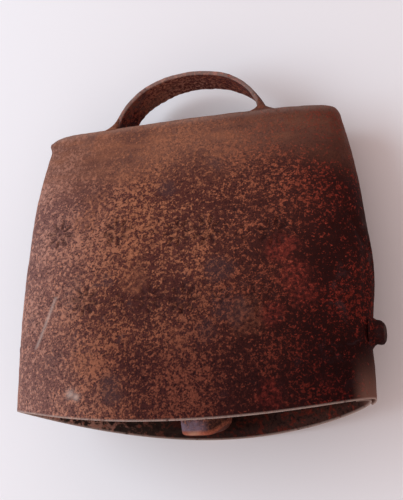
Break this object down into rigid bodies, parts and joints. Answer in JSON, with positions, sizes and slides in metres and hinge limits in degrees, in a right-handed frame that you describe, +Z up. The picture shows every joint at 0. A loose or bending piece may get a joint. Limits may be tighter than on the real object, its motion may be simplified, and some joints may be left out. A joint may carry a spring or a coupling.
{
  "type": "cowbell",
  "caption": "Flat-sided sheet-iron cowbell lying on its back, with a bent strap loop for a collar and a clapper that swings on a link inside.",
  "frame": {"origin": "middle of the footprint, on the table the bell lies on; the bell's middle plane is at X = -1.45 mm, because the right rivet stands out", "axes": "+Z up from the table towards the front face, +Y from the mouth to the collar loop, +X across the bell"},
  "size_m": [0.0994, 0.0996, 0.0387],
  "materials": {
    "bell_sheet": "rusted, matt with a few darker worn patches",
    "rivet_iron": "rusted",
    "loop_strap": "rusted",
    "braze": "rusted over, dull",
    "hanger_wire": "rusted",
    "clapper_iron": "rusted, rubbed bare at the end"
  },
  "bodies": {
    "bell": {"front_shell": "bell_sheet", "back_shell": "bell_sheet", "side_rivet_right": "rivet_iron", "side_rivet_left": "rivet_iron", "strap_loop": "loop_strap", "loop_braze_right": "braze", "loop_braze_left": "braze", "hanger_staple": "hanger_wire"},
    "link": {"clapper_link": "hanger_wire"},
    "clapper": {"clapper": "clapper_iron"}
  },
  "joints": [
    {"name": "clapper_swing", "type": "hinge", "parent": "bell", "child": "link", "pos_m": [-0.00145, 0.02464, 0.01327], "axis": [-1, 0, 0], "range_deg": [0, 19.5]},
    {"name": "clapper_side_swing", "type": "hinge", "parent": "link", "child": "clapper", "pos_m": [-0.00145, 0.01617, 0.01255], "axis": [0, -0.0837, 0.9965], "range_deg": [-8, 8]}
  ]
}
